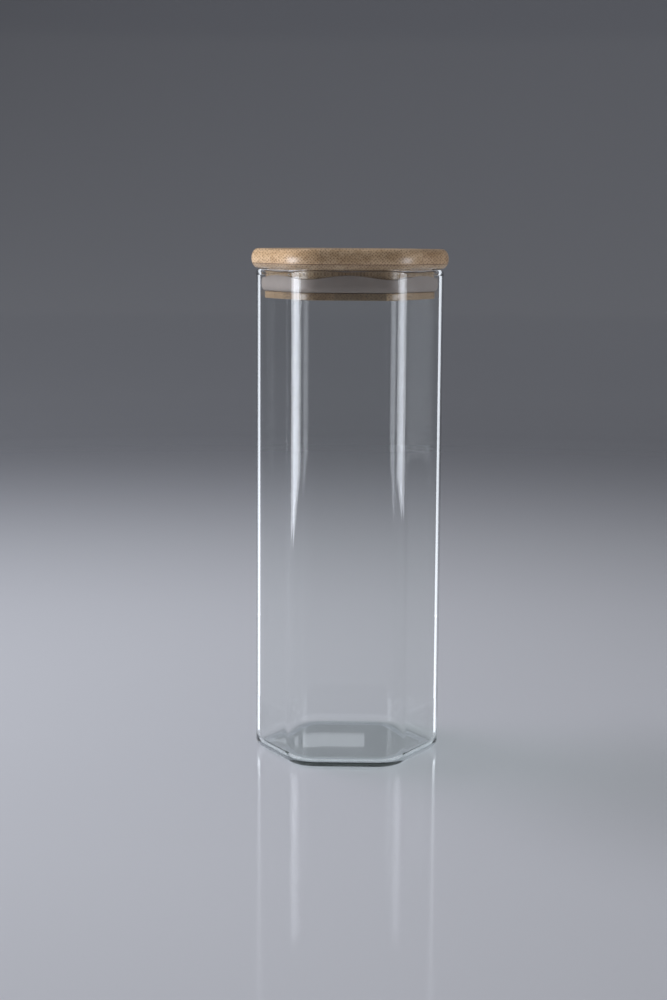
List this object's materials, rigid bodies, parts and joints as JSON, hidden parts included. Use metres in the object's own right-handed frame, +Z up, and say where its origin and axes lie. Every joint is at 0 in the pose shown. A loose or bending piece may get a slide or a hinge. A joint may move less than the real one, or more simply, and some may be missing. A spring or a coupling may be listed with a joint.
{
  "type": "glass jar",
  "caption": "Tall hexagonal clear glass jar with rounded corners, a lift-off lid of laminated bamboo strips and a milky silicone seal ring round the lid's plug.",
  "frame": {"origin": "under the middle of the jar's base, on the surface that it stands on", "axes": "+Z up along the jar and out of its mouth; -Y out of the flat side that faces the camera; +X through a rounded corner, to the camera's right"},
  "size_m": [0.0798, 0.0736, 0.207],
  "materials": {
    "clear_glass": "clear fire-polished borosilicate glass",
    "bamboo_top_ply": "carbonised bamboo, sanded and oiled, satin",
    "bamboo_middle_ply": "carbonised bamboo, sanded and oiled, satin",
    "bamboo_bottom_ply": "carbonised bamboo, sanded and oiled, satin",
    "milky_silicone": "milky translucent silicone, matte"
  },
  "bodies": {
    "jar": {"glass_jar": "clear_glass"},
    "lid": {"top_strip_1": "bamboo_top_ply", "top_strip_2": "bamboo_top_ply", "top_strip_3": "bamboo_top_ply", "top_strip_4": "bamboo_top_ply", "top_strip_5": "bamboo_top_ply", "middle_strip_1": "bamboo_middle_ply", "middle_strip_2": "bamboo_middle_ply", "middle_strip_3": "bamboo_middle_ply", "middle_strip_4": "bamboo_middle_ply", "bottom_strip_1": "bamboo_bottom_ply", "bottom_strip_2": "bamboo_bottom_ply", "bottom_strip_3": "bamboo_bottom_ply", "bottom_strip_4": "bamboo_bottom_ply", "seal_ring": "milky_silicone"}
  },
  "joints": [
    {"name": "lid_lift", "type": "slide", "parent": "jar", "child": "lid", "axis": [0, 0, 1], "range_m": [0, 0.06]}
  ]
}
